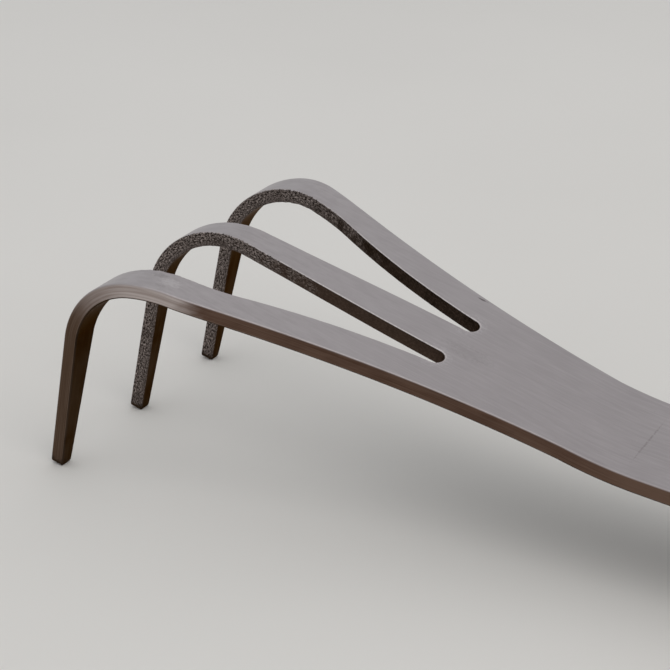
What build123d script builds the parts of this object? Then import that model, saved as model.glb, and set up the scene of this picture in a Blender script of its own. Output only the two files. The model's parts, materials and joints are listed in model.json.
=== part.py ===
from build123d import *
import os
from math import asin, atan2, cos, degrees, hypot, radians, sin

# Hand cultivator: three tines, palm, neck and full tang are one bent steel plate;
# two wooden scales are riveted to the tang, and a brass tube lines the hanging hole.
#
# Row frame, millimetres: +X runs from the tines to the butt, Y is across, +Z is up.
# The tool lies on its three tine tips and the underside of its butt, with the floor at Z = 0,
# and the origin is the middle of its footprint.
#
# Building frame: the tang lies flat with its top face at Z = 0, and the crease between
# neck and palm is at X = 0. Everything is made there and laid down on the floor at the end.
# Places along the plate are given as s: the length along the top face from the crease,
# positive towards the tine tips.

# ---- Plate and its bends
PLATE = 3.2  # thickness of the steel
NECK_TURN = radians(9.9)  # the palm rises from the tang by this angle
NECK_RADIUS = 92.0  # of the soft bend at the crease, on the top face
PALM_LENGTH = 81.5  # flat, from the crease to the tine bend
TINE_TURN = radians(92.2)  # how far the tines are bent down from the palm
TINE_RADIUS = 22.0  # of that bend, on the top face
LEG_LENGTH = 33.8  # straight part of a tine below the bend

# ---- Outline of the head, as half widths either side of the centre line
NECK_HALF = 15.8
TIP_PITCH = 30.0  # between neighbouring tine tips
TIP_WIDTH = PLATE  # the tips are square
SLOT_ROOT = 32.7  # where the straight sides of the slots start
SLOT_ROUND = 2.1  # depth of the rounded end of a slot
SHOULDER = 70.8  # where the flare of the palm starts to turn parallel
CROWN = 91.3  # where the tines start their straight taper

# Controls of the cubic edges, equally spaced along the plate
OUTER_FLARE = (NECK_HALF, 17.6, 22.8, 30.6)  # crease to shoulder
OUTER_SHOULDER = (30.6, 32.8, 35.2, 34.8)  # shoulder to crown
SLOT_FLARE = (10.8, 13.1, 16.7, 22.4)  # slot root to shoulder
SLOT_SHOULDER = (22.4, 25.5, 26.1, 26.3)  # shoulder to crown
MIDDLE_TAPER = (5.7, 5.4, 3.8, 3.3)  # slot root to crown

# ---- Handle, in X from the crease
BUTT_END = 180.0
HANDLE_FRONT = 46.0
WAIST = 88.0
SWELL = 144.0
WAIST_HALF = 13.0
SWELL_HALF = 15.6
SCALE = 10.0  # thickness of one wooden scale
EDGE_ROUND = 4.5  # of the scales' outer edges
FRONT_ROUND = 7.0  # of the scales' front corners, seen from above

# ---- Rivets and hanging tube
RIVETS = {"front": 62.0, "middle": 100.0, "rear": 138.0}
HEAD_RADIUS = 4.0
HEAD_DEPTH = 1.5
SOCKET_RADIUS = 2.5
PIN_RADIUS = 1.7
PIN_LENGTH = 15.0
TUBE_X = 162.0
TUBE_RADIUS = 4.0
TUBE_BORE = 3.0
CLEARANCE = 0.05  # around everything that goes through a hole

TINE_ARC = TINE_RADIUS * TINE_TURN
BEND_END = PALM_LENGTH + TINE_ARC
TIP = BEND_END + LEG_LENGTH
STACK_TOP = SCALE
STACK_BOTTOM = -PLATE - SCALE
ABOVE = (Align.CENTER, Align.CENTER, Align.MIN)
BELOW = (Align.CENTER, Align.CENTER, Align.MAX)


def cubic(controls, share):
    """Value of a cubic with four equally spaced controls, at a share 0 to 1 of its length."""
    a, b, c, d = controls
    rest = 1 - share
    return a * rest**3 + 3 * b * rest**2 * share + 3 * c * rest * share**2 + d * share**3


def edge_at(s, root, flare, shoulder, tip_value):
    """Half width of one edge of the head at s, from its root to the tine tip."""
    if s <= SHOULDER:
        return cubic(flare, (s - root) / (SHOULDER - root))
    if s <= CROWN:
        return cubic(shoulder, (s - SHOULDER) / (CROWN - SHOULDER))
    share = (s - CROWN) / (TIP - CROWN)
    return shoulder[3] + (tip_value - shoulder[3]) * share


def outer_edge(s):
    return edge_at(s, 0, OUTER_FLARE, OUTER_SHOULDER, TIP_PITCH + TIP_WIDTH / 2)


def slot_edge(s):
    return edge_at(s, SLOT_ROOT, SLOT_FLARE, SLOT_SHOULDER, TIP_PITCH - TIP_WIDTH / 2)


def middle_edge(s):
    if s <= CROWN:
        return cubic(MIDDLE_TAPER, (s - SLOT_ROOT) / (CROWN - SLOT_ROOT))
    share = (s - CROWN) / (TIP - CROWN)
    return MIDDLE_TAPER[3] + (TIP_WIDTH / 2 - MIDDLE_TAPER[3]) * share


def towards_tips(slope):
    """Direction along the plate where it rises towards the tines by this angle."""
    return Vector(-cos(slope), 0, sin(slope))


def out_of_plate(slope):
    """Upward normal of the plate where it rises towards the tines by this angle."""
    return Vector(sin(slope), 0, cos(slope))


def plate_at(s):
    """Point on the top face's centre line at s >= 0, and the slope there."""
    palm_end = towards_tips(NECK_TURN) * PALM_LENGTH
    centre = palm_end - out_of_plate(NECK_TURN) * TINE_RADIUS
    if s <= PALM_LENGTH:
        return towards_tips(NECK_TURN) * s, NECK_TURN
    if s <= BEND_END:
        slope = NECK_TURN - (s - PALM_LENGTH) / TINE_RADIUS
        return centre + out_of_plate(slope) * TINE_RADIUS, slope
    slope = NECK_TURN - TINE_TURN
    bend_end = centre + out_of_plate(slope) * TINE_RADIUS
    return bend_end + towards_tips(slope) * (s - BEND_END), slope


def section(s, low, high):
    """Rectangular cross section of the plate at s, between two distances across."""
    point, slope = plate_at(s)
    plane = Plane(origin=point, x_dir=(0, 1, 0), z_dir=towards_tips(slope))
    return plane * Pos((low + high) / 2, PLATE / 2) * Rectangle(high - low, PLATE)


def bezier_edge(start, end, controls, side):
    """One cubic edge of the head's flat outline, on the side +1 or -1."""
    step = (end - start) / 3
    return Bezier(*[(start + step * i, side * value) for i, value in enumerate(controls)])


def slot_face(side):
    """Flat outline of one slot, from its rounded root to the crown."""
    half = (SLOT_FLARE[0] - MIDDLE_TAPER[0]) / 2
    centre = side * (SLOT_FLARE[0] + MIDDLE_TAPER[0]) / 2
    middle = (SLOT_ROOT, centre)
    root_end = EllipticalCenterArc(middle, SLOT_ROUND, half, start_angle=90, arc_size=180)
    edges = [
        root_end,
        bezier_edge(SLOT_ROOT, SHOULDER, SLOT_FLARE, side),
        bezier_edge(SHOULDER, CROWN, SLOT_SHOULDER, side),
        Line((CROWN, side * SLOT_SHOULDER[3]), (CROWN, side * MIDDLE_TAPER[3])),
        bezier_edge(SLOT_ROOT, CROWN, MIDDLE_TAPER, side),
    ]
    return make_face(edges)


def palm():
    """Flat palm with the flat first part of the tines, up to the tine bend."""
    edges = [
        Line((0, -NECK_HALF), (0, NECK_HALF)),
        bezier_edge(0, SHOULDER, OUTER_FLARE, 1),
        bezier_edge(SHOULDER, CROWN, OUTER_SHOULDER, 1),
        Line((CROWN, OUTER_SHOULDER[3]), (CROWN, -OUTER_SHOULDER[3])),
        bezier_edge(SHOULDER, CROWN, OUTER_SHOULDER, -1),
        bezier_edge(0, SHOULDER, OUTER_FLARE, -1),
    ]
    flat = make_face(edges) - slot_face(1) - slot_face(-1)
    beyond = Pos(PALM_LENGTH + CROWN / 2, 0) * Rectangle(CROWN, 4 * CROWN)
    plane = Plane(origin=(0, 0, 0), x_dir=towards_tips(NECK_TURN), z_dir=out_of_plate(NECK_TURN))
    return extrude(plane * (flat - beyond), -PLATE)


def tine(low, high):
    """Bend and straight leg of one tine, between two edges given as functions of s."""
    steps = 10
    stations = [PALM_LENGTH + TINE_ARC * i / steps for i in range(steps + 1)]
    bend = loft([section(s, low(s), high(s)) for s in stations])
    ends = [section(s, low(s), high(s)) for s in (BEND_END, TIP)]
    leg = loft(ends, ruled=True)
    return bend + leg


def neck():
    """Soft bend at the crease, from the palm down to the level of the tang."""
    centre = out_of_plate(NECK_TURN) * NECK_RADIUS
    start = section(0, -NECK_HALF, NECK_HALF)
    return revolve(start, Axis(centre, (0, -1, 0)), degrees(NECK_TURN))


def handle_outline():
    """Face of the tang behind the neck bend, flush with the scales."""
    tang_start = NECK_RADIUS * sin(NECK_TURN)
    edges = [Line((tang_start, -NECK_HALF), (tang_start, NECK_HALF))]
    for side in (1, -1):
        reach = (WAIST - tang_start) / 3
        edges.append(Bezier(
            (tang_start, side * NECK_HALF),
            (tang_start + reach, side * NECK_HALF),
            (WAIST - reach, side * WAIST_HALF),
            (WAIST, side * WAIST_HALF),
        ))
        reach = (SWELL - WAIST) / 3
        edges.append(Bezier(
            (WAIST, side * WAIST_HALF),
            (WAIST + reach, side * WAIST_HALF),
            (SWELL - reach, side * SWELL_HALF),
            (SWELL, side * SWELL_HALF),
        ))
        edges.append(Bezier(
            (SWELL, side * SWELL_HALF),
            (SWELL + reach, side * SWELL_HALF),
            (BUTT_END, side * SWELL_HALF),
            (BUTT_END, 0),
        ))
    return make_face(edges)


def tang_drop():
    """How far the tang's top face is below the crease, after the neck bend."""
    return NECK_RADIUS * (1 - cos(NECK_TURN))


def bore(x, radius):
    """Round cutter right through the handle."""
    height = STACK_TOP - STACK_BOTTOM + 2
    middle = (STACK_TOP + STACK_BOTTOM) / 2
    return Pos(x, 0, middle) * Cylinder(radius, height)


def head_plate():
    """The whole steel plate, with its rivet holes and hanging hole."""
    plate = palm() + neck()
    plate = plate + tine(lambda s: -middle_edge(s), middle_edge)
    plate = plate + tine(slot_edge, outer_edge)
    plate = plate + tine(lambda s: -outer_edge(s), lambda s: -slot_edge(s))
    plate = Pos(0, 0, tang_drop()) * plate
    plate = plate + extrude(handle_outline(), -PLATE)
    for x in RIVETS.values():
        plate = plate - bore(x, SOCKET_RADIUS + CLEARANCE)
    return plate - bore(TUBE_X, TUBE_RADIUS + CLEARANCE)


def upper_scale():
    """Wooden slab on top of the tang, with its outer edges rounded."""
    ahead = Pos(HANDLE_FRONT - BUTT_END / 2, 0) * Rectangle(BUTT_END, BUTT_END)
    outline = handle_outline() - ahead
    outline = fillet(outline.vertices().sort_by(Axis.X)[:2], FRONT_ROUND)
    slab = extrude(outline, SCALE)
    slab = fillet(slab.faces().sort_by(Axis.Z)[-1].edges(), EDGE_ROUND)
    for x in RIVETS.values():
        slab = slab - bore(x, SOCKET_RADIUS + CLEARANCE)
        recess = Cylinder(HEAD_RADIUS + CLEARANCE, HEAD_DEPTH, align=BELOW)
        slab = slab - Pos(x, 0, STACK_TOP) * recess
    return slab - bore(TUBE_X, TUBE_RADIUS + CLEARANCE)


def lower_scale():
    """The same slab turned over and put under the tang."""
    return Pos(0, 0, -PLATE) * Rot(180, 0, 0) * upper_scale()


def rivet_socket(x):
    """Lower half of a cutler's rivet: a head with a hollow shank."""
    length = STACK_TOP - HEAD_DEPTH - STACK_BOTTOM
    head = Cylinder(HEAD_RADIUS, HEAD_DEPTH, align=ABOVE)
    shank = Cylinder(SOCKET_RADIUS, length, align=ABOVE)
    hollow = Pos(0, 0, HEAD_DEPTH) * Cylinder(PIN_RADIUS + CLEARANCE, length, align=ABOVE)
    return Pos(x, 0, STACK_BOTTOM) * (head + shank - hollow)


def rivet_pin(x):
    """Upper half of a cutler's rivet: a head with a solid pin driven into the socket."""
    head = Cylinder(HEAD_RADIUS, HEAD_DEPTH, align=BELOW)
    pin = Pos(0, 0, -HEAD_DEPTH) * Cylinder(PIN_RADIUS, PIN_LENGTH, align=BELOW)
    return Pos(x, 0, STACK_TOP) * (head + pin)


def hang_tube():
    """Brass tube through the butt, flush with both scales."""
    height = STACK_TOP - STACK_BOTTOM
    middle = (STACK_TOP + STACK_BOTTOM) / 2
    return Pos(TUBE_X, 0, middle) * (Cylinder(TUBE_RADIUS, height) - Cylinder(TUBE_BORE, height))


def resting_slope():
    """Angle that brings the tine tips and the rounded butt down to one level."""
    point, slope = plate_at(TIP)
    tip = point - out_of_plate(slope) * PLATE + Vector(0, 0, tang_drop())
    across = BUTT_END - EDGE_ROUND - tip.X
    above = STACK_BOTTOM + EDGE_ROUND - tip.Z
    return atan2(above, across) - asin(EDGE_ROUND / hypot(above, across))


def main():
    parts = {
        "head_plate": head_plate(),
        "upper_scale": upper_scale(),
        "lower_scale": lower_scale(),
        "hang_tube": hang_tube(),
    }
    for name, x in RIVETS.items():
        parts[name + "_rivet_socket"] = rivet_socket(x)
        parts[name + "_rivet_pin"] = rivet_pin(x)

    laid = Rot(0, degrees(resting_slope()), 0)
    parts = {name: laid * part for name, part in parts.items()}
    boxes = [part.bounding_box() for part in parts.values()]
    left = min(box.min.X for box in boxes)
    right = max(box.max.X for box in boxes)
    floor = min(box.min.Z for box in boxes)
    shift = Pos(-(left + right) / 2, 0, -floor)

    os.makedirs("parts", exist_ok=True)
    for name, part in parts.items():
        placed = shift * part
        export_step(placed, f"parts/{name}.step")


main()
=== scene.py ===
import json
from math import atan2, cos, hypot, pi, radians, sin

import bpy
from mathutils import Euler, Matrix, Vector, noise
from mathutils.geometry import delaunay_2d_cdt, normal


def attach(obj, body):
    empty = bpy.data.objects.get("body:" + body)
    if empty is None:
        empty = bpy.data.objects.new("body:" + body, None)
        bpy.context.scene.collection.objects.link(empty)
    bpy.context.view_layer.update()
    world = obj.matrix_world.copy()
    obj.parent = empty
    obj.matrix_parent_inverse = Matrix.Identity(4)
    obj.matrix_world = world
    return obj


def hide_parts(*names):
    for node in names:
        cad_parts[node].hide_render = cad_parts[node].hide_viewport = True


# Hand cultivator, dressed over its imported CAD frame.
# Sizes are in millimetres until a mesh is made; Blender objects are in metres.
#
# The steel plate and the wooden scales are made the same way: a closed outline is laid out
# flat, its rim is rounded, and the result is bent into place. On the plate, s is the length
# along the top face from the crease (towards the tine tips), v is the distance across and
# depth is measured down from the top face. On the handle, x is the distance behind the crease.

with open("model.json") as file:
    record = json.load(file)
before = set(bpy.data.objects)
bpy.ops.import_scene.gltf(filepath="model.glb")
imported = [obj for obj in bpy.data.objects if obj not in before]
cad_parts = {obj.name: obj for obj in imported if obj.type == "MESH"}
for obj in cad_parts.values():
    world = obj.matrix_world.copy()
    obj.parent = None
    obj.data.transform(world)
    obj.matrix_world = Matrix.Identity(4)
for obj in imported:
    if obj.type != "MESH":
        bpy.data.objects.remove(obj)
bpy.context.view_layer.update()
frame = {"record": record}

MM = 0.001

# ---- The plate and its bends, as in the CAD
PLATE = 3.2
NECK_TURN = radians(9.9)
NECK_RADIUS = 92.0
PALM_LENGTH = 81.5
TINE_TURN = radians(92.2)
TINE_RADIUS = 22.0
LEG_LENGTH = 33.8
NECK_ARC = NECK_RADIUS * NECK_TURN
TANG_START = NECK_RADIUS * sin(NECK_TURN)
TANG_DROP = NECK_RADIUS * (1 - cos(NECK_TURN))
TANG_SHIFT = TANG_START - NECK_ARC  # x + s of every place on the tang
BEND_END = PALM_LENGTH + TINE_RADIUS * TINE_TURN
TIP = BEND_END + LEG_LENGTH

# ---- Outline of the head, as half widths and places along the plate
NECK_HALF = 15.8
TIP_PITCH = 30.0  # between neighbouring tine tips
TIP_WIDTH = PLATE
SLOT_ROOT = 32.7
SLOT_ROUND = 2.1
SHOULDER = 70.8
CROWN = 91.3

# Controls of the cubic edges, equally spaced along the plate
OUTER_FLARE = (NECK_HALF, 17.6, 22.8, 30.6)
OUTER_SHOULDER = (30.6, 32.8, 35.2, 34.8)
SLOT_FLARE = (10.8, 13.1, 16.7, 22.4)
SLOT_SHOULDER = (22.4, 25.5, 26.1, 26.3)
MIDDLE_TAPER = (5.7, 5.4, 3.8, 3.3)
ROOT_MIDDLE = (SLOT_FLARE[0] + MIDDLE_TAPER[0]) / 2  # middle of a slot's round end, across

# ---- Handle, in distances from the crease along the tang
BUTT_END = 180.0
HANDLE_FRONT = 46.0
WAIST = 88.0
SWELL = 144.0
WAIST_HALF = 13.0
SWELL_HALF = 15.6
SCALE = 10.0
FRONT_ROUND = 7.0
TUBE_X = 162.0
TUBE_RADIUS = 4.0
TUBE_BORE = 3.0
RIVET_X = {"front": 62.0, "middle": 100.0, "rear": 138.0}
HEAD_RADIUS = 4.0
HEAD_DEPTH = 1.5
SHANK_RADIUS = 2.5
SCALE_HOLES = [(TUBE_X, TUBE_RADIUS)] + [(x, HEAD_RADIUS) for x in RIVET_X.values()]
TANG_HOLES = [(TUBE_X, TUBE_RADIUS)] + [(x, SHANK_RADIUS) for x in RIVET_X.values()]

# ---- Edges of the real surfaces
GROUND_ROUND = 0.4  # ground outer edges, top face
CUT_ROUND = 0.2  # edges of the slots
ROOT_ROUND = 0.4  # edges of the slots' round ends
TIP_ROUND = 0.55  # corners of the tips, seen from the front
TIP_BEVEL = 0.8 * TIP_ROUND  # edges of the tips
UNDER_ROUND = 0.3
SCALE_ROUND = 4.5
SHARP = 0.12
WAVE = 0.28  # raggedness of the slots' edges over the tine bend
CALM = 0.04  # and elsewhere
FINE_WAVES = 1.1  # per millimetre of a ragged edge
SLOW_WAVES = 0.16
TOP_EDGES = {
    "ground": GROUND_ROUND,
    "tang": SHARP,
    "cut": CUT_ROUND,
    "root": ROOT_ROUND,
    "tip": TIP_BEVEL,
}
UNDER_EDGES = {**TOP_EDGES, "ground": UNDER_ROUND, "root": CUT_ROUND}

# ---- Marks of use on the top face: place (s, v), half sizes and strength
MARKS = (
    (35.0, 19.6, 0.7, 0.18, 0.8),  # nick by the palm's edge
    (87.0, -28.2, 1.2, 0.6, 0.22),
    (84.5, -32.0, 0.8, 0.5, 0.18),
    (28.0, -1.5, 3.5, 1.6, 0.12),
)
CROWN_HIGHLIGHT = (83.5, -29.6, 1.5, 0.9)  # painted highlight on the same bend
BEND_SHADE = (-12.6, -1.5, 0.14, 5.5)  # painted shade: a faint dark line across the neck's bend
SOIL = (0.022, 0.014, 0.009)  # earth on the tips
DULL = (0.55, 0.45, 0.38)  # edge tint of the dark, dull surfaces

# ---- Spacing of the meshes' points
FINE = 0.45  # along the edges of the slots and the tines
MEDIUM = 0.8  # along the edges of the palm and the butt
COARSE = 1.0  # along the handle, and between the plate's rows of inner points
ACROSS = 1.2  # between the inner points of a row
ROOT_STEP = 0.2  # round the end of a slot, in radians
TIP_STEPS = 4  # in a tip's corner
ARC_STEPS = 5  # in the rounding of a rim
WALL_STEPS = 4  # down a rim between its two roundings
RIM_ROWS = 2 * (ARC_STEPS + 1) + WALL_STEPS - 1
EDGE_GAP = 1.0  # between the inner points and the outer edges
HOLE_GAP = 0.8  # and the slots and holes

# ---- Camera, in metres and degrees, with its lens and sensor in millimetres
CAMERA_PLACE = (0.0723, -0.2945, 0.1971)
CAMERA_HEADING = 29.23
CAMERA_TILT = -26.09
CAMERA_ROLL = 0.74
CAMERA_LENS = 94.3
CAMERA_SENSOR = 36

# ---- Where the tool lies: the record's hanging hole gives the tang's slope and place
hole = frame["record"]["mounts"][0]
REST = atan2(hole["axis"][0], hole["axis"][2])
HOLE_X = hole["pos_m"][0] / MM
HOLE_Z = hole["pos_m"][2] / MM


def lay(x, y, z):
    """From the frame in which the tang lies flat to the row frame, in metres."""
    dx = x - TUBE_X
    dz = z + PLATE / 2
    row_x = HOLE_X + dx * cos(REST) + dz * sin(REST)
    row_z = HOLE_Z - dx * sin(REST) + dz * cos(REST)
    return Vector((row_x, y, row_z)) * MM


def turn(x, y, z):
    """The same turn for a direction."""
    return Vector((x * cos(REST) + z * sin(REST), y, z * cos(REST) - x * sin(REST)))


# ---------------------------------------------------------------- outlines


def cubic(controls, share):
    """Value of a cubic with four equally spaced controls, at a share 0 to 1 of its length."""
    a, b, c, d = controls
    rest = 1 - share
    return a * rest**3 + 3 * b * rest**2 * share + 3 * c * rest * share**2 + d * share**3


def eased(start, end, share):
    """Smooth change between two values that starts and ends level."""
    return cubic((start, start, end, end), share)


def handle_half(x):
    """Half width of the handle and tang, up to the swell."""
    if x <= TANG_START:
        return NECK_HALF
    if x <= WAIST:
        return eased(NECK_HALF, WAIST_HALF, (x - TANG_START) / (WAIST - TANG_START))
    return eased(WAIST_HALF, SWELL_HALF, (x - WAIST) / (SWELL - WAIST))


def edge_at(s, root, flare, shoulder, tip_value):
    """Half width of one edge of the head at s, from its root to the tine tip."""
    if s <= SHOULDER:
        return cubic(flare, (s - root) / (SHOULDER - root))
    if s <= CROWN:
        return cubic(shoulder, (s - SHOULDER) / (CROWN - SHOULDER))
    share = (s - CROWN) / (TIP - CROWN)
    return shoulder[3] + (tip_value - shoulder[3]) * share


def outer_edge(s):
    if s <= -NECK_ARC:
        return handle_half(TANG_SHIFT - s)
    if s <= 0:
        return NECK_HALF
    return edge_at(s, 0, OUTER_FLARE, OUTER_SHOULDER, TIP_PITCH + TIP_WIDTH / 2)


def slot_edge(s):
    return edge_at(s, SLOT_ROOT, SLOT_FLARE, SLOT_SHOULDER, TIP_PITCH - TIP_WIDTH / 2)


def middle_edge(s):
    if s <= CROWN:
        return cubic(MIDDLE_TAPER, (s - SLOT_ROOT) / (CROWN - SLOT_ROOT))
    share = (s - CROWN) / (TIP - CROWN)
    return MIDDLE_TAPER[3] + (TIP_WIDTH / 2 - MIDDLE_TAPER[3]) * share


def steps(start, end, pitch):
    """Evenly spaced values from start to just before end."""
    count = max(1, round(abs(end - start) / pitch))
    return [start + (end - start) * i / count for i in range(count)]


def quarter_turn(count):
    """Angles from 0 to a quarter turn, both included."""
    return [pi / 2 * i / count for i in range(count + 1)]


def tang_s(x):
    """Length along the plate of a place on the tang."""
    return TANG_SHIFT - x


def butt_curve(pitch):
    """Points (x, v) round one side of the butt, from the centre line to the swell."""
    reach = (SWELL - WAIST) / 3
    points = []
    for share in steps(1, 0, pitch / (BUTT_END - SWELL)):
        x = cubic((SWELL, SWELL + reach, BUTT_END, BUTT_END), share)
        v = cubic((SWELL_HALF, SWELL_HALF, SWELL_HALF, 0), share)
        points.append((x, v))
    return points


def butt_share(x):
    """Rough width of the butt at x behind the swell, as a share of the swell's."""
    return (1 - ((x - SWELL) / (BUTT_END - SWELL)) ** 3) ** 0.5


def ragged(s, side, along):
    """Small waviness of a cut edge at s, strongest over the bend.

    side and along choose a place in the noise, so that no two edges wave alike.
    """
    fine = noise.noise(Vector((along * FINE_WAVES, side, 3.0)))
    slow = noise.noise(Vector((along * SLOW_WAVES, side, 9.0)))
    rise = min(1.0, max(0.0, (s - SHOULDER) / (CROWN - SHOULDER)))
    fall = min(1.0, max(0.0, (BEND_END - s) / (BEND_END - CROWN)))
    return eased(CALM, WAVE, rise * fall) * (fine + slow)


def tine_tip(low, high):
    """Rounded corners of a tine's blunt end, from the high edge to the low one."""
    corner = [(1 - sin(a), 1 - cos(a)) for a in quarter_turn(TIP_STEPS)]
    points = [(TIP - TIP_ROUND * back, high - TIP_ROUND * aside) for back, aside in corner]
    corner.reverse()
    points += [(TIP - TIP_ROUND * back, low + TIP_ROUND * aside) for back, aside in corner]
    return points


def plate_outline():
    """Closed outline of the whole plate as points (s, v, kind of edge)."""
    bare = tang_s(HANDLE_FRONT + FRONT_ROUND)
    corner = TIP - TIP_ROUND
    half = [(tang_s(x), v, "tang") for x, v in butt_curve(MEDIUM)]
    half += [(s, outer_edge(s), "tang") for s in steps(tang_s(SWELL), bare, COARSE)]
    half += [(s, outer_edge(s), "ground") for s in steps(bare, PALM_LENGTH, MEDIUM)]
    half += [(s, outer_edge(s), "ground") for s in steps(PALM_LENGTH, corner, FINE)]
    half += [(s, v, "tip") for s, v in tine_tip(slot_edge(TIP), outer_edge(TIP))]
    for s in steps(corner, SLOT_ROOT, FINE)[1:]:
        half.append((s, slot_edge(s) + ragged(s, 0.3, s), "cut"))
    gap = (slot_edge(SLOT_ROOT) - middle_edge(SLOT_ROOT)) / 2
    for a in steps(0, pi, ROOT_STEP):
        half.append((SLOT_ROOT - SLOT_ROUND * sin(a), ROOT_MIDDLE + gap * cos(a), "root"))
    # the middle tine's edges are calmer than the others, and wave differently
    for s in steps(SLOT_ROOT, corner, FINE):
        half.append((s, middle_edge(s) + ragged(s, -0.3, s + 40) / 2, "cut"))
    half += [(s, v, "tip") for s, v in tine_tip(0, middle_edge(TIP))[:TIP_STEPS + 1]]
    # the other side is the same, walked back from the middle tine to the butt
    other = [(s, -v, kind) for s, v, kind in reversed(half[1:])]
    return half + other


def hole_loop(x, radius, tag):
    """A round hole with barely broken edges, as a loop of a slab."""
    count = 40
    turns = [2 * pi * i / count for i in range(count)]
    return {
        "points": [(x + radius * cos(a), radius * sin(a)) for a in turns],
        "top": [SHARP] * count,
        "under": [SHARP] * count,
        "tags": [tag] * count,
    }


def clear_of(holes, x, v):
    """Whether a point keeps its distance from every hole."""
    return all(hypot(x - hole_x, v) > radius + HOLE_GAP for hole_x, radius in holes)


# ---------------------------------------------------------------- rounded slabs


def left_normals(loop):
    """Unit normals to the left of a closed outline: inwards where it runs counterclockwise."""
    normals = []
    for i in range(len(loop)):
        ax, ay = loop[i - 1]
        bx, by = loop[(i + 1) % len(loop)]
        dx, dy = bx - ax, by - ay
        length = hypot(dx, dy)
        normals.append((-dy / length, dx / length))
    return normals


def area(loop):
    """Area of a closed outline, negative where it runs clockwise."""
    return sum(a[0] * b[1] - b[0] * a[1] for a, b in zip(loop, loop[1:] + loop[:1])) / 2


def smoothed(values, passes):
    """Closed list of numbers with its steps softened."""
    for _ in range(passes):
        after = values[1:] + values[:1]
        before = values[-1:] + values[:-1]
        values = [(a + 2 * b + c) / 4 for a, b, c in zip(before, values, after)]
    return values


def rim_profile(thickness, top_round, under_round):
    """Rim from top face to underside as (inset, depth, outward share, upward share)."""
    rows = []
    for a in quarter_turn(ARC_STEPS):
        rows.append((top_round * (1 - sin(a)), top_round * (1 - cos(a)), sin(a), cos(a)))
    for i in range(1, WALL_STEPS):
        depth = top_round + (thickness - top_round - under_round) * i / WALL_STEPS
        rows.append((0.0, depth, 1.0, 0.0))
    for a in reversed(quarter_turn(ARC_STEPS)):
        depth = thickness - under_round * (1 - cos(a))
        rows.append((under_round * (1 - sin(a)), depth, sin(a), -cos(a)))
    return rows


class Slab:
    """A slab with rounded rims, laid out flat and bent into place.

    place(a, b, depth) gives the position of a flat point, facing(a, b, along, across, up) a
    normal there, and pick(tag, row) the material of a face. The outline and the holes are
    loops: dicts with "points", "top" and "under" (rounding per point) and "tags" (one word
    per point).
    """

    def __init__(self, thickness, place, facing, pick):
        self.thickness = thickness
        self.place = place
        self.facing = facing
        self.pick = pick
        self.verts = []
        self.normals = []
        self.flat = []
        self.depths = []
        self.faces = []
        self.kinds = []

    def vertex(self, a, b, depth, facing):
        """Adds a vertex at a flat point and gives its number."""
        self.verts.append(self.place(a, b, depth))
        self.normals.append(facing)
        self.flat.append((a, b))
        self.depths.append(depth)
        return len(self.verts) - 1

    def add_rim(self, loop, is_outline):
        """Adds the rim along one loop and gives the number of its first vertex."""
        points = loop["points"]
        inwards = left_normals(points)
        if (area(points) < 0) == is_outline:
            inwards = [(-x, -y) for x, y in inwards]
        base = len(self.verts)
        for i, (a, b) in enumerate(points):
            na, nb = inwards[i]
            rows = rim_profile(self.thickness, loop["top"][i], loop["under"][i])
            for inset, depth, out, up in rows:
                facing = self.facing(a, b, -na * out, -nb * out, up)
                self.vertex(a + na * inset, b + nb * inset, depth, facing)
        for i in range(len(points)):
            here = base + i * RIM_ROWS
            beside = base + ((i + 1) % len(points)) * RIM_ROWS
            for k in range(RIM_ROWS - 1):
                self.faces.append((here + k, here + k + 1, beside + k + 1, beside + k))
                self.kinds.append(self.pick(loop["tags"][i], k))
        return base

    def add_face(self, loops, bases, inner, row):
        """Adds the flat face inside the rims' first or last row, bent at the inner points."""
        depth, up = (0.0, 1.0) if row == 0 else (self.thickness, -1.0)
        flat = []
        numbers = []
        rings = []
        for loop, base in zip(loops, bases):
            first = len(flat)
            for i in range(len(loop["points"])):
                number = base + i * RIM_ROWS + row
                numbers.append(number)
                flat.append(Vector(self.flat[number]))
            ring = list(range(first, len(flat)))
            if area(loop["points"]) < 0:
                ring.reverse()
            rings.append(ring)
        for a, b in inner:
            numbers.append(self.vertex(a, b, depth, self.facing(a, b, 0.0, 0.0, up)))
            flat.append(Vector((a, b)))
        result = delaunay_2d_cdt(flat, [], rings, 0, 1e-7, True)
        _, _, triangles, origins, _, owners = result
        for triangle, owner in zip(triangles, owners):
            # outside the outline a triangle has no owner, and in a hole it has two
            if owner == [0]:
                self.faces.append(tuple(numbers[origins[corner][0]] for corner in triangle))
                self.kinds.append(self.pick("face", row))

    def outwards(self, corners):
        """A face's corners in the order that agrees with its vertices' normals."""
        wanted = sum((self.normals[c] for c in corners), Vector())
        if normal([self.verts[c] for c in corners]).dot(wanted) < 0:
            return corners[::-1]
        return corners

    def build(self, name, loops, inner):
        """The finished object. Its first loop is the outline and the others are holes.

        The materials read the flat coordinates from the UV map, in millimetres, shifted by
        the depth so that the rim has its own, and the depth from an attribute.
        """
        bases = [self.add_rim(loop, loop is loops[0]) for loop in loops]
        self.add_face(loops, bases, inner, 0)
        self.add_face(loops, bases, inner, RIM_ROWS - 1)
        mesh = bpy.data.meshes.new(name)
        mesh.from_pydata(self.verts, [], [self.outwards(corners) for corners in self.faces])
        mesh.attributes.new("depth", "FLOAT", "POINT").data.foreach_set("value", self.depths)
        layer = mesh.uv_layers.new(name="flat")
        for corner in mesh.loops:
            a, b = self.flat[corner.vertex_index]
            layer.data[corner.index].uv = (a, b + self.depths[corner.vertex_index])
        for polygon, kind in zip(mesh.polygons, self.kinds):
            polygon.use_smooth = True
            polygon.material_index = kind
        mesh.normals_split_custom_set_from_vertices([n.normalized() for n in self.normals])
        obj = bpy.data.objects.new(name, mesh)
        bpy.context.scene.collection.objects.link(obj)
        return obj


# ---------------------------------------------------------------- the steel plate


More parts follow.
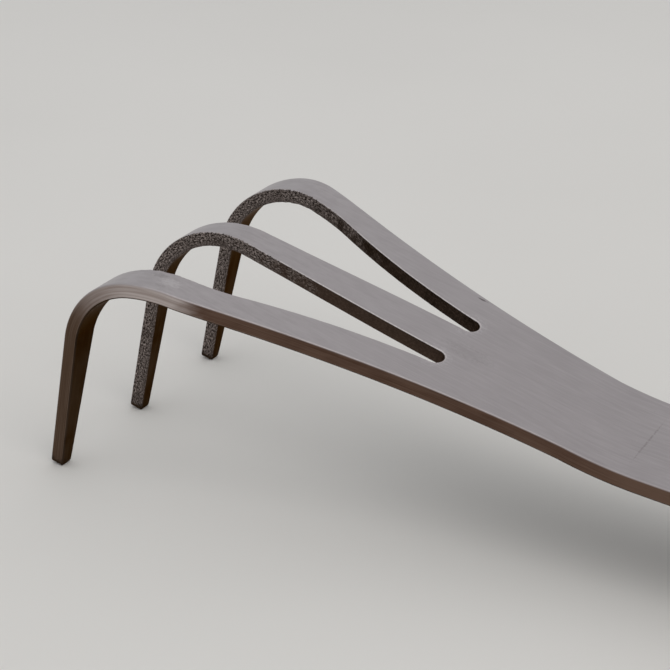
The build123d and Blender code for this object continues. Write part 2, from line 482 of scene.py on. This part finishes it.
def plate_frame(s):
    """Top face point (x, z) and slope of the plate at s, with the tang lying flat."""
    if s < -NECK_ARC:
        return TANG_SHIFT - s, 0.0, 0.0
    if s < 0:
        slope = NECK_TURN + s / NECK_RADIUS
        x = NECK_RADIUS * (sin(NECK_TURN) - sin(slope))
        z = TANG_DROP - NECK_RADIUS * (cos(slope) - cos(NECK_TURN))
        return x, z, slope
    if s <= PALM_LENGTH:
        return -s * cos(NECK_TURN), TANG_DROP + s * sin(NECK_TURN), NECK_TURN
    centre_x = -PALM_LENGTH * cos(NECK_TURN) - TINE_RADIUS * sin(NECK_TURN)
    centre_z = TANG_DROP + PALM_LENGTH * sin(NECK_TURN) - TINE_RADIUS * cos(NECK_TURN)
    slope = NECK_TURN - (min(s, BEND_END) - PALM_LENGTH) / TINE_RADIUS
    x = centre_x + TINE_RADIUS * sin(slope)
    z = centre_z + TINE_RADIUS * cos(slope)
    beyond = max(0.0, s - BEND_END)
    return x - beyond * cos(slope), z + beyond * sin(slope), slope


def place_on_plate(s, v, depth):
    x, z, slope = plate_frame(s)
    return lay(x - depth * sin(slope), v, z - depth * cos(slope))


def facing_on_plate(s, v, along, across, up):
    slope = plate_frame(s)[2]
    x = -along * cos(slope) + up * sin(slope)
    z = along * sin(slope) + up * cos(slope)
    return turn(x, across, z)


def metal_strips(s):
    """Stretches (start, end) of metal across the plate at s, a little inside their edges."""
    if s < tang_s(SWELL):
        widest = SWELL_HALF * butt_share(TANG_SHIFT - s) - 2 * EDGE_GAP
    else:
        widest = outer_edge(s) - EDGE_GAP
    if s <= SLOT_ROOT - SLOT_ROUND - EDGE_GAP:
        return [(-widest, widest)]
    t = max(s, SLOT_ROOT)
    low = middle_edge(t) - HOLE_GAP
    high = slot_edge(t) + HOLE_GAP
    return [(-widest, -high), (-low, low), (high, widest)]


def plate_inner():
    """Points inside the flat faces of the developed plate, in rows of equal s."""
    holes = [(tang_s(x), radius) for x, radius in TANG_HOLES]
    points = []
    for s in steps(tang_s(BUTT_END - 3 * EDGE_GAP), TIP - ACROSS, COARSE):
        for start, end in metal_strips(s):
            if end <= start:
                points.append((s, (start + end) / 2))
                continue
            count = max(1, round((end - start) / ACROSS))
            row = [start + (end - start) * i / count for i in range(count + 1)]
            points += [(s, v) for v in row if clear_of(holes, s, v)]
    return points


BRUSHED, GROUND, CUT, UNDER = range(4)


def plate_material(tag, row):
    """Material of each part of the plate's rim and faces."""
    if tag == "face":
        return BRUSHED if row == 0 else UNDER
    if tag in ("cut", "root"):
        return CUT
    if tag == "tip":
        return UNDER
    if tag == "tang":
        return BRUSHED
    return GROUND if row < ARC_STEPS + WALL_STEPS else UNDER


def build_plate(materials):
    outline = plate_outline()
    kinds = [kind for _, _, kind in outline]
    rim = {
        "points": [(s, v) for s, v, _ in outline],
        "top": smoothed([TOP_EDGES[kind] for kind in kinds], 6),
        "under": smoothed([UNDER_EDGES[kind] for kind in kinds], 6),
        "tags": kinds,
    }
    holes = [hole_loop(tang_s(x), radius, "tang") for x, radius in TANG_HOLES]
    slab = Slab(PLATE, place_on_plate, facing_on_plate, plate_material)
    plate = slab.build("tine_head", [rim] + holes, plate_inner())
    for material in materials:
        plate.data.materials.append(material)
    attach(plate, "root")
    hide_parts("head_plate")
    return plate


# ---------------------------------------------------------------- handle


def scale_outline():
    """Outline of a scale as (x, v), with its front corners rounded."""
    half = list(butt_curve(MEDIUM))
    half += [(x, handle_half(x)) for x in steps(SWELL, HANDLE_FRONT + FRONT_ROUND, COARSE)]
    side = handle_half(HANDLE_FRONT + FRONT_ROUND)
    for a in quarter_turn(12):
        x = HANDLE_FRONT + FRONT_ROUND * (1 - sin(a))
        half.append((x, side - FRONT_ROUND * (1 - cos(a))))
    return half + [(x, -v) for x, v in reversed(half[1:])]


def scale_inner():
    """Points inside the flat faces of a scale, in rows of equal x."""
    margin = SCALE_ROUND + HOLE_GAP
    count = 10
    points = []
    for x in steps(HANDLE_FRONT + margin, BUTT_END - margin, 2 * COARSE):
        widest = handle_half(min(x, SWELL)) - margin
        if x > SWELL:
            widest *= butt_share(x)
        row = [widest * (2 * i / count - 1) for i in range(count + 1)]
        points += [(x, v) for v in row if clear_of(SCALE_HOLES, x, v)]
    return points


def build_scale(name, node, side, material):
    """One wooden slab; side is +1 on top of the tang and -1 under it."""
    outer_level = SCALE if side > 0 else -PLATE - SCALE

    def place(x, v, depth):
        return lay(x, v, outer_level - side * depth)

    def facing(x, v, along, across, up):
        return turn(along, across, side * up)

    points = scale_outline()
    rim = {
        "points": points,
        "top": [SCALE_ROUND] * len(points),
        "under": [SHARP] * len(points),
        "tags": ["wood"] * len(points),
    }
    holes = [hole_loop(x, radius, "wood") for x, radius in SCALE_HOLES]
    slab = Slab(SCALE, place, facing, lambda tag, row: 0)
    piece = slab.build(name, [rim] + holes, scale_inner())
    piece.data.materials.append(material)
    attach(piece, "root")
    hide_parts(node)
    return piece


def turned(name, profile, x, side, material, nodes):
    """A piece turned about an axis square to the tang at x.

    The profile is (radius, height above the middle of the tang); side -1 turns it over.
    A profile that ends where it starts is a tube, and any other one gets two end caps.
    """
    count = 64
    verts = []
    for radius, height in profile:
        for i in range(count):
            a = 2 * pi * i / count
            level = side * height - PLATE / 2
            verts.append(lay(x + radius * cos(a), radius * sin(a), level))
    faces = []
    for k in range(len(profile) - 1):
        here = k * count
        above = here + count
        for i in range(count):
            j = (i + 1) % count
            faces.append((here + i, here + j, above + j, above + i)[::-side])
    if profile[0] != profile[-1]:
        last = (len(profile) - 1) * count
        faces.append(tuple(range(count))[::side])
        faces.append(tuple(range(last, last + count))[::-side])
    mesh = bpy.data.meshes.new(name)
    mesh.from_pydata(verts, [], faces)
    for polygon in mesh.polygons:
        polygon.use_smooth = True
    mesh.update()
    obj = bpy.data.objects.new(name, mesh)
    bpy.context.scene.collection.objects.link(obj)
    obj.data.materials.append(material)
    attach(obj, "root")
    for node in nodes:
        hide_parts(node)
    return obj


def rivet_profile():
    """Domed head and shank of half a rivet, from the axis outwards and down into the handle."""
    top = SCALE + PLATE / 2
    dome = 0.12
    radius = HEAD_RADIUS - 0.03
    bevel = 0.08
    rings = 12
    rows = [(0.02, top + dome)]
    for i in range(1, rings):
        rows.append((radius * i / rings, top + dome * (1 - (i / rings) ** 2)))
    rows += [(radius - bevel, top), (radius, top - SHARP), (radius, top - HEAD_DEPTH)]
    return rows + [(SHANK_RADIUS, top - HEAD_DEPTH), (SHANK_RADIUS, 0.2)]


def tube_profile():
    """Hanging tube from end to end and back inside, with rounded lips."""
    top = SCALE + PLATE / 2
    lip = 0.35
    outer = TUBE_RADIUS - 0.02
    inner = TUBE_BORE
    upper = [
        (inner, top - lip),
        (inner + 0.1, top - 0.1),
        (inner + lip, top),
        (outer - lip, top + 0.02),
        (outer - 0.1, top - 0.08),
        (outer, top - lip),
    ]
    lower = [(radius, -height) for radius, height in reversed(upper)]
    return upper + lower + [upper[0]]


# ---------------------------------------------------------------- materials


class Nodes:
    """Short way to write a node material."""

    def __init__(self, name):
        self.material = bpy.data.materials.new(name)
        self.material.use_nodes = True
        self.tree = self.material.node_tree
        self.shader = self.tree.nodes["Principled BSDF"]

    def add(self, kind, **values):
        node = self.tree.nodes.new(kind)
        for key, value in values.items():
            setattr(node, key, value)
        return node

    def link(self, source, target):
        self.tree.links.new(source, target)

    def put(self, value, socket):
        """Sets a number or colour on a socket, or links another node's output to it."""
        if isinstance(value, (int, float)):
            socket.default_value = value
        elif isinstance(value, tuple):
            socket.default_value = (*value, 1.0)
        else:
            self.link(value, socket)

    def scaled(self, vector, factors):
        """A vector with each part multiplied by its own factor."""
        node = self.add("ShaderNodeVectorMath", operation="MULTIPLY")
        node.inputs[1].default_value = factors
        self.link(vector, node.inputs[0])
        return node.outputs[0]

    def parts(self, vector):
        """The three parts of a vector."""
        node = self.add("ShaderNodeSeparateXYZ")
        self.link(vector, node.inputs[0])
        return node.outputs

    def point(self, along, across, up):
        """Position in the row frame, in millimetres, scaled per axis."""
        coordinates = self.add("ShaderNodeTexCoord").outputs["Object"]
        return self.scaled(coordinates, (along / MM, across / MM, up / MM))

    def flat_point(self, along, across):
        """The outline's own coordinates in millimetres, scaled along and across."""
        uv = self.add("ShaderNodeUVMap", uv_map="flat").outputs[0]
        return self.scaled(uv, (along, across, 1.0))

    def flat_parts(self):
        """The outline's own coordinates as two separate values."""
        parts = self.parts(self.add("ShaderNodeUVMap", uv_map="flat").outputs[0])
        return parts[0], parts[1]

    def depth(self):
        """Millimetres below the top face."""
        return self.add("ShaderNodeAttribute", attribute_name="depth").outputs["Fac"]

    def edge_point(self, along, down):
        """Length along the plate and depth below its top face, each scaled."""
        joined = self.add("ShaderNodeCombineXYZ")
        s, _ = self.flat_parts()
        self.link(self.times(s, along), joined.inputs[0])
        self.link(self.times(self.depth(), down), joined.inputs[1])
        return joined.outputs[0]

    def noise(self, vector, detail=3.0, roughness=0.55, distortion=0.0):
        node = self.add("ShaderNodeTexNoise")
        node.inputs["Scale"].default_value = 1.0
        node.inputs["Detail"].default_value = detail
        node.inputs["Roughness"].default_value = roughness
        node.inputs["Distortion"].default_value = distortion
        self.link(vector, node.inputs["Vector"])
        return node.outputs["Fac"]

    def span(self, value, low, high, start=0.0, end=1.0):
        """Value mapped smoothly from low..high to start..end, clamped."""
        node = self.add("ShaderNodeMapRange", interpolation_type="SMOOTHSTEP")
        node.inputs["From Min"].default_value = low
        node.inputs["From Max"].default_value = high
        node.inputs["To Min"].default_value = start
        node.inputs["To Max"].default_value = end
        self.link(value, node.inputs["Value"])
        return node.outputs["Result"]

    def math(self, operation, a, b):
        node = self.add("ShaderNodeMath", operation=operation)
        self.put(a, node.inputs[0])
        self.put(b, node.inputs[1])
        return node.outputs[0]

    def times(self, a, b):
        return self.math("MULTIPLY", a, b)

    def plus(self, a, b):
        return self.math("ADD", a, b)

    def mix(self, factor, first, second):
        """Colour between two others."""
        node = self.add("ShaderNodeMix", data_type="RGBA")
        self.put(factor, node.inputs[0])
        self.put(first, node.inputs[6])
        self.put(second, node.inputs[7])
        return node.outputs[2]

    def spot(self, s, v, along, across):
        """One inside an uneven oval mark of these half sizes, fading to zero outside it."""
        here_s, here_v = self.flat_parts()
        far_s = self.math("DIVIDE", self.math("SUBTRACT", here_s, s), along)
        far_v = self.math("DIVIDE", self.math("SUBTRACT", here_v, v), across)
        squares = self.plus(self.times(far_s, far_s), self.times(far_v, far_v))
        wobble = self.noise(self.flat_point(1.1, 1.4), detail=3.0, roughness=0.7)
        squares = self.plus(squares, self.span(wobble, 0.3, 0.7, -1.5, 2.5))
        return self.span(squares, 0.5, 4.0, 1.0, 0.0)

    def soiled(self, s):
        """Share of earth on the last stretch of a tine."""
        patches = self.noise(self.flat_point(0.9, 1.1), detail=3.0)
        wavy = self.plus(s, self.span(patches, 0.3, 0.7, -0.8, 0.8))
        return self.span(wavy, TIP - 2.0, TIP - 0.4, 0.0, 0.75)

    def bump(self, height, strength, distance_mm):
        node = self.add("ShaderNodeBump")
        node.inputs["Strength"].default_value = strength
        node.inputs["Distance"].default_value = distance_mm * MM
        self.link(height, node.inputs["Height"])
        self.link(node.outputs[0], self.shader.inputs["Normal"])

    def finish(self, colour, roughness, metallic):
        self.link(colour, self.shader.inputs["Base Color"])
        self.link(roughness, self.shader.inputs["Roughness"])
        self.shader.inputs["Metallic"].default_value = metallic
        return self.material


def brushed_tone(n):
    """Colour of the satin top face, and the brushing lines it comes from."""
    steel = (0.400, 0.364, 0.372)
    cloudy_steel = (0.422, 0.385, 0.393)
    bright_steel = (0.54, 0.506, 0.516)
    smudged = (0.33, 0.298, 0.305)
    streaked = (0.52, 0.486, 0.494)
    brushed = (0.60, 0.562, 0.570)
    speckled = (0.19, 0.175, 0.172)
    s, _ = n.flat_parts()
    lines = n.noise(n.flat_point(0.05, 5.0), detail=4.0, roughness=0.65)
    cloud = n.noise(n.flat_point(0.06, 0.09), detail=2.0)
    specks = n.noise(n.flat_point(1.3, 1.9), detail=2.0)
    smudges = n.noise(n.flat_point(0.22, 0.45), detail=4.0, roughness=0.65)
    streaks = n.noise(n.flat_point(0.11, 1.3), detail=3.0, roughness=0.6)
    # the tines are brighter and more smudged than the palm
    tone = n.mix(n.span(cloud, 0.3, 0.7), steel, cloudy_steel)
    tone = n.mix(n.span(s, 0.0, CROWN, 0.0, 0.4), tone, bright_steel)
    handled = n.span(s, SLOT_ROOT, CROWN, 0.1, 0.35)
    tone = n.mix(n.times(n.span(smudges, 0.42, 0.62), handled), tone, smudged)
    tone = n.mix(n.times(n.span(smudges, 0.46, 0.30), handled), tone, streaked)
    tone = n.mix(n.span(streaks, 0.35, 0.75, 0.0, 0.4), tone, streaked)
    tone = n.mix(n.span(lines, 0.35, 0.75, 0.0, 0.3), tone, brushed)
    tone = n.mix(n.span(specks, 0.72, 0.80, 0.0, 0.5), tone, speckled)
    return tone, lines


def brushed_material():
    """Satin top face: fine lengthwise brushing, faint cloudiness, a few marks of use, a painted
    highlight and a line of painted shade on the bends.
    """
    scuffed = (0.13, 0.11, 0.11)
    bend_shade_tone = (0.13, 0.10, 0.09)
    pale_steel = (0.65, 0.615, 0.625)
    highlight_steel = (0.71, 0.675, 0.68)
    n = Nodes("brushed_steel")
    tone, lines = brushed_tone(n)
    for *mark, strength in MARKS:
        tone = n.mix(n.times(n.spot(*mark), strength), tone, scuffed)
    for v in (ROOT_MIDDLE, -ROOT_MIDDLE):
        halo = n.spot(SLOT_ROOT, v, SLOT_ROUND, SLOT_ROUND * 1.2)
        tone = n.mix(n.times(halo, 0.35), tone, pale_steel)
    # painted highlight on the near tine's bend
    tone = n.mix(n.times(n.spot(*CROWN_HIGHLIGHT), 0.35), tone, highlight_steel)
    # painted shade along the neck's bend, patchy in strength
    patches = n.noise(n.flat_point(1.2, 1.2), detail=2.0)
    bend_shade_share = n.times(n.spot(*BEND_SHADE), n.span(patches, 0.35, 0.6, 0.12, 0.35))
    tone = n.mix(bend_shade_share, tone, bend_shade_tone)
    roughness = n.span(lines, 0.2, 0.8, 0.34, 0.46)
    n.bump(lines, 0.12, 0.02)
    return n.finish(tone, roughness, 1.0)


def ground_material():
    """Outer edges: dark brown, a painted reflection of brown wood, with bright ground lines
    over the tine bend.
    """
    brown_reflection = (0.094, 0.053, 0.037)
    paler_brown_reflection = (0.132, 0.078, 0.056)
    leg_brown_reflection = (0.085, 0.051, 0.030)
    neck_brown_reflection = (0.183, 0.119, 0.089)
    scratched = (0.19, 0.143, 0.118)
    stained = (0.040, 0.024, 0.014)
    ground = (0.375, 0.317, 0.297)
    bright_ground = (0.56, 0.498, 0.483)
    lower_edge_highlight = (0.26, 0.20, 0.165)
    n = Nodes("ground_edge")
    s, _ = n.flat_parts()
    lines = n.noise(n.edge_point(0.05, 4.0), detail=3.0, roughness=0.7)
    passes = n.noise(n.edge_point(0.03, 2.4), detail=3.0, roughness=0.65)
    cloud = n.noise(n.flat_point(0.12, 0.3), detail=3.0)
    # painted reflection: the sides' dark brown stands in for brown wood reflected in them,
    # paler by the neck and darker on the legs
    dark = n.mix(n.span(cloud, 0.3, 0.7), brown_reflection, paler_brown_reflection)
    dark = n.mix(n.span(s, CROWN, BEND_END, 0.0, 0.8), dark, leg_brown_reflection)
    dark = n.mix(n.span(lines, 0.4, 0.75, 0.0, 0.35), dark, scratched)
    dark = n.mix(n.span(lines, 0.5, 0.3, 0.0, 0.35), dark, stained)
    dark = n.mix(n.span(s, 0, -15, 0.0, 0.5), dark, neck_brown_reflection)
    # bright from just before the bend, fading out along it
    bright = n.mix(n.span(passes, 0.35, 0.65), ground, bright_ground)
    smeared = n.plus(s, n.span(cloud, 0.3, 0.7, -1.5, 1.5))
    rise = n.span(smeared, PALM_LENGTH - 8, PALM_LENGTH)
    fall = n.span(smeared, PALM_LENGTH + 7, PALM_LENGTH + 32, 1.0, 0.0)
    side = n.mix(n.times(rise, fall), dark, bright)
    # painted highlight along the lower rounded edge, uneven along its length
    low = n.span(n.depth(), PLATE - 0.55, PLATE - 0.25)
    side = n.mix(n.times(low, n.span(cloud, 0.35, 0.65, 0.1, 0.6)), side, lower_edge_highlight)
    # the rounding keeps the top face's tone, except on the legs
    top, _ = brushed_tone(n)
    below = n.span(n.depth(), 0.0, GROUND_ROUND * 0.8)
    tone = n.mix(n.math("MAXIMUM", below, n.span(s, CROWN, BEND_END)), top, side)
    tone = n.mix(n.soiled(s), tone, SOIL)
    roughness = n.span(cloud, 0.3, 0.7, 0.34, 0.46)
    n.bump(passes, 0.3, 0.04)
    return n.finish(tone, roughness, 1.0)


def cut_material():
    """Slot walls and inner tine sides: smooth and dark in the palm, where shade in the narrow
    slots is painted in, grainy on the tines.
    """
    slot_shade_black = (0.022, 0.015, 0.011)
    slot_shade_brown = (0.044, 0.030, 0.023)
    rubbed = (0.095, 0.068, 0.055)
    middle_brown = (0.115, 0.076, 0.058)
    pit_shade = (0.016, 0.012, 0.010)
    grain_grey = (0.36, 0.305, 0.285)
    grain_glint = (0.75, 0.67, 0.64)
    shadowed = (0.035, 0.026, 0.022)
    low_grey = (0.115, 0.095, 0.088)
    lip_highlight = (0.80, 0.76, 0.76)
    n = Nodes("cut_wall")
    s, _ = n.flat_parts()
    grain = n.noise(n.flat_point(1.7, 2.9), detail=4.0, roughness=0.75)
    coarse = n.noise(n.point(0.4, 0.4, 0.4), detail=3.0)
    bites = n.noise(n.flat_point(1.6, 0.0), detail=3.0, roughness=0.7)
    uneven_s = n.plus(s, n.span(coarse, 0.3, 0.7, -6, 6))
    open_grain = n.span(uneven_s, SHOULDER - 12, SHOULDER + 14)
    # painted shade: the smooth walls in the palm's narrow slots are dark
    smooth = n.mix(n.span(coarse, 0.3, 0.7), slot_shade_black, slot_shade_brown)
    smooth = n.mix(n.span(grain, 0.45, 0.65, 0.0, 0.5), smooth, rubbed)
    # the middle tine's sides are lighter: they lie nearest to the centre line
    off_centre = n.math("ABSOLUTE", n.parts(n.point(1, 1, 1))[1], 0.0)
    smooth = n.mix(n.span(off_centre, 6.5, 9.0, 0.4, 0.0), smooth, middle_brown)
    # the grain's own speckle, with painted shade in its pits and painted glints on its bright
    # specks
    rough = n.mix(n.span(grain, 0.42, 0.61), pit_shade, grain_grey)
    rough = n.mix(n.span(grain, 0.60, 0.68), rough, grain_glint)
    rough = n.mix(n.span(coarse, 0.5, 0.3, 0.0, 0.45), rough, shadowed)
    rough = n.mix(n.span(n.depth(), PLATE * 0.5, PLATE * 0.9, 0.0, 0.45), rough, low_grey)
    side = n.mix(open_grain, smooth, rough)
    # painted highlight along the lip of the palm's slots, and the grain bites into it on the
    # tines
    top, _ = brushed_tone(n)
    shine = n.span(open_grain, 0.0, 1.0, 0.8, 0.2)
    lip = n.mix(n.times(shine, n.span(bites, 0.35, 0.6, 0.4, 1.0)), top, lip_highlight)
    bitten = n.times(n.span(bites, 0.35, 0.65, -0.1, 0.2), open_grain)
    tone = n.mix(n.span(n.plus(n.depth(), bitten), 0.06, CUT_ROUND), lip, side)
    tone = n.mix(n.soiled(s), tone, SOIL)
    roughness = n.span(grain, 0.3, 0.7, 0.62, 0.40)
    height = n.times(grain, n.span(uneven_s, SHOULDER - 12, SHOULDER + 14, 0.25, 1.0))
    n.bump(n.plus(height, n.times(coarse, 0.5)), 0.75, 0.25)
    n.shader.inputs["Specular Tint"].default_value = (*DULL, 1.0)
    return n.finish(tone, roughness, 1.0)


def under_material():
    """Underside and inner faces of the tines: smooth and dark brown."""
    under_dark = (0.027, 0.017, 0.011)
    under_less_dark = (0.053, 0.035, 0.024)
    rubbed = (0.104, 0.072, 0.050)
    n = Nodes("dark_underside")
    lines = n.noise(n.flat_point(0.07, 1.6), detail=3.0)
    cloud = n.noise(n.point(0.12, 0.12, 0.12), detail=3.0)
    tone = n.mix(n.span(cloud, 0.3, 0.7), under_dark, under_less_dark)
    tone = n.mix(n.span(lines, 0.45, 0.75, 0.0, 0.3), tone, rubbed)
    roughness = n.span(cloud, 0.3, 0.7, 0.36, 0.5)
    n.bump(lines, 0.15, 0.03)
    n.shader.inputs["Specular Tint"].default_value = (*DULL, 1.0)
    return n.finish(tone, roughness, 1.0)


def wood_material():
    """Oiled hardwood with its grain along the handle."""
    early_wood = (0.105, 0.042, 0.018)
    late_wood = (0.300, 0.150, 0.068)
    golden = (0.36, 0.19, 0.09)
    fibre = (0.085, 0.034, 0.015)
    pore = (0.035, 0.015, 0.008)
    oiled = (0.05, 0.022, 0.012)
    seam = (0.030, 0.014, 0.009)
    n = Nodes("oiled_wood")
    bend = n.noise(n.point(0.012, 0.05, 0.05), detail=2.0)
    rings = n.noise(n.point(0.010, 0.32, 0.32), detail=4.0, roughness=0.6, distortion=0.8)
    fibres = n.noise(n.point(0.06, 4.5, 4.5), detail=3.0, roughness=0.6)
    pores = n.noise(n.point(0.22, 3.2, 3.2), detail=2.0, roughness=0.5)
    tone = n.mix(n.span(rings, 0.32, 0.68), early_wood, late_wood)
    tone = n.mix(n.span(bend, 0.35, 0.7, 0.0, 0.35), tone, golden)
    tone = n.mix(n.span(fibres, 0.35, 0.75, 0.0, 0.45), tone, fibre)
    tone = n.mix(n.span(pores, 0.62, 0.72, 0.0, 0.8), tone, pore)
    # darker round the brass and along the seam with the tang
    for x in (*RIVET_X.values(), TUBE_X):
        tone = n.mix(n.times(n.spot(x, 0.0, 2.6, 2.6), 0.6), tone, oiled)
    tone = n.mix(n.span(n.depth(), SCALE - 0.4, SCALE - 0.05, 0.0, 0.6), tone, seam)
    roughness = n.span(fibres, 0.3, 0.7, 0.38, 0.52)
    n.bump(n.math("SUBTRACT", fibres, n.span(pores, 0.6, 0.72)), 0.25, 0.06)
    return n.finish(tone, roughness, 0.0)


def brass_material():
    """Brass filed flush with the wood: fine scratches and a little tarnish."""
    brass = (0.60, 0.43, 0.20)
    tarnished = (0.47, 0.32, 0.14)
    filed = (0.72, 0.56, 0.31)
    n = Nodes("filed_brass")
    scratches = n.noise(n.point(0.2, 7.0, 7.0), detail=3.0)
    tarnish = n.noise(n.point(0.25, 0.25, 0.25), detail=4.0, roughness=0.6)
    tone = n.mix(n.span(tarnish, 0.35, 0.7), brass, tarnished)
    tone = n.mix(n.span(scratches, 0.4, 0.75, 0.0, 0.3), tone, filed)
    roughness = n.span(scratches, 0.3, 0.7, 0.24, 0.4)
    n.bump(scratches, 0.1, 0.01)
    return n.finish(tone, roughness, 1.0)


def floor_material():
    """Pale, nearly matt studio floor."""
    pale = (0.78, 0.765, 0.74)
    paler = (0.81, 0.795, 0.77)
    n = Nodes("pale_floor")
    cloud = n.noise(n.point(0.004, 0.004, 0.004), detail=3.0)
    tone = n.mix(n.span(cloud, 0.3, 0.7), pale, paler)
    roughness = n.span(cloud, 0.3, 0.7, 0.75, 0.85)
    n.shader.inputs["Specular IOR Level"].default_value = 0.2
    return n.finish(tone, roughness, 0.0)


# ---------------------------------------------------------------- stage, in metres


def build_floor():
    size = 2.5
    mesh = bpy.data.meshes.new("floor")
    corners = [(-size, -size, 0), (size, -size, 0), (size, size, 0), (-size, size, 0)]
    mesh.from_pydata(corners, [], [(0, 1, 2, 3)])
    floor = bpy.data.objects.new("floor", mesh)
    bpy.context.scene.collection.objects.link(floor)
    floor.data.materials.append(floor_material())


def area_light(name, place, target, size, watts, colour):
    """A round soft light that looks at a target."""
    light = bpy.data.lights.new(name, "AREA")
    light.shape = "DISK"
    light.size = size
    light.energy = watts
    light.color = colour
    obj = bpy.data.objects.new(name, light)
    obj.location = place
    obj.rotation_euler = (Vector(target) - Vector(place)).to_track_quat("-Z", "Y").to_euler()
    bpy.context.scene.collection.objects.link(obj)


def build_light():
    world = bpy.data.worlds.new("studio")
    world.use_nodes = True
    background = world.node_tree.nodes["Background"]
    background.inputs["Color"].default_value = (0.98, 0.99, 1.0, 1.0)
    background.inputs["Strength"].default_value = 0.6
    bpy.context.scene.world = world
    area_light(
        "overhead",
        place=(-0.05, 0.10, 1.1),
        target=(0, 0, 0),
        size=1.4,
        watts=1.1,
        colour=(1.0, 0.98, 0.95),
    )
    area_light(
        "key",
        place=(0.7, -0.4, 1.1),
        target=(-0.05, 0, 0),
        size=1.0,
        watts=3.4,
        colour=(1.0, 0.97, 0.93),
    )


def build_camera():
    camera = bpy.data.cameras.new("camera")
    camera.sensor_width = CAMERA_SENSOR
    camera.lens = CAMERA_LENS
    obj = bpy.data.objects.new("camera", camera)
    aim = Euler((pi / 2 + radians(CAMERA_TILT), 0, radians(CAMERA_HEADING))).to_matrix()
    aim = aim @ Matrix.Rotation(radians(CAMERA_ROLL), 3, "Z")
    obj.matrix_world = Matrix.Translation(CAMERA_PLACE) @ aim.to_4x4()
    bpy.context.scene.collection.objects.link(obj)
    bpy.context.scene.camera = obj


# ---------------------------------------------------------------- everything


def main():
    steel = [brushed_material(), ground_material(), cut_material(), under_material()]
    wood = wood_material()
    brass = brass_material()
    build_plate(steel)
    build_scale("scale_on_top", "upper_scale", 1, wood)
    build_scale("scale_under", "lower_scale", -1, wood)
    rivet = rivet_profile()
    for name, x in RIVET_X.items():
        turned(name + "_rivet_head_top", rivet, x, 1, brass, [name + "_rivet_pin"])
        turned(name + "_rivet_head_under", rivet, x, -1, brass, [name + "_rivet_socket"])
    turned("hanging_tube", tube_profile(), TUBE_X, 1, brass, ["hang_tube"])
    build_floor()
    build_light()
    build_camera()
    bpy.context.scene.view_settings.view_transform = "Standard"


main()
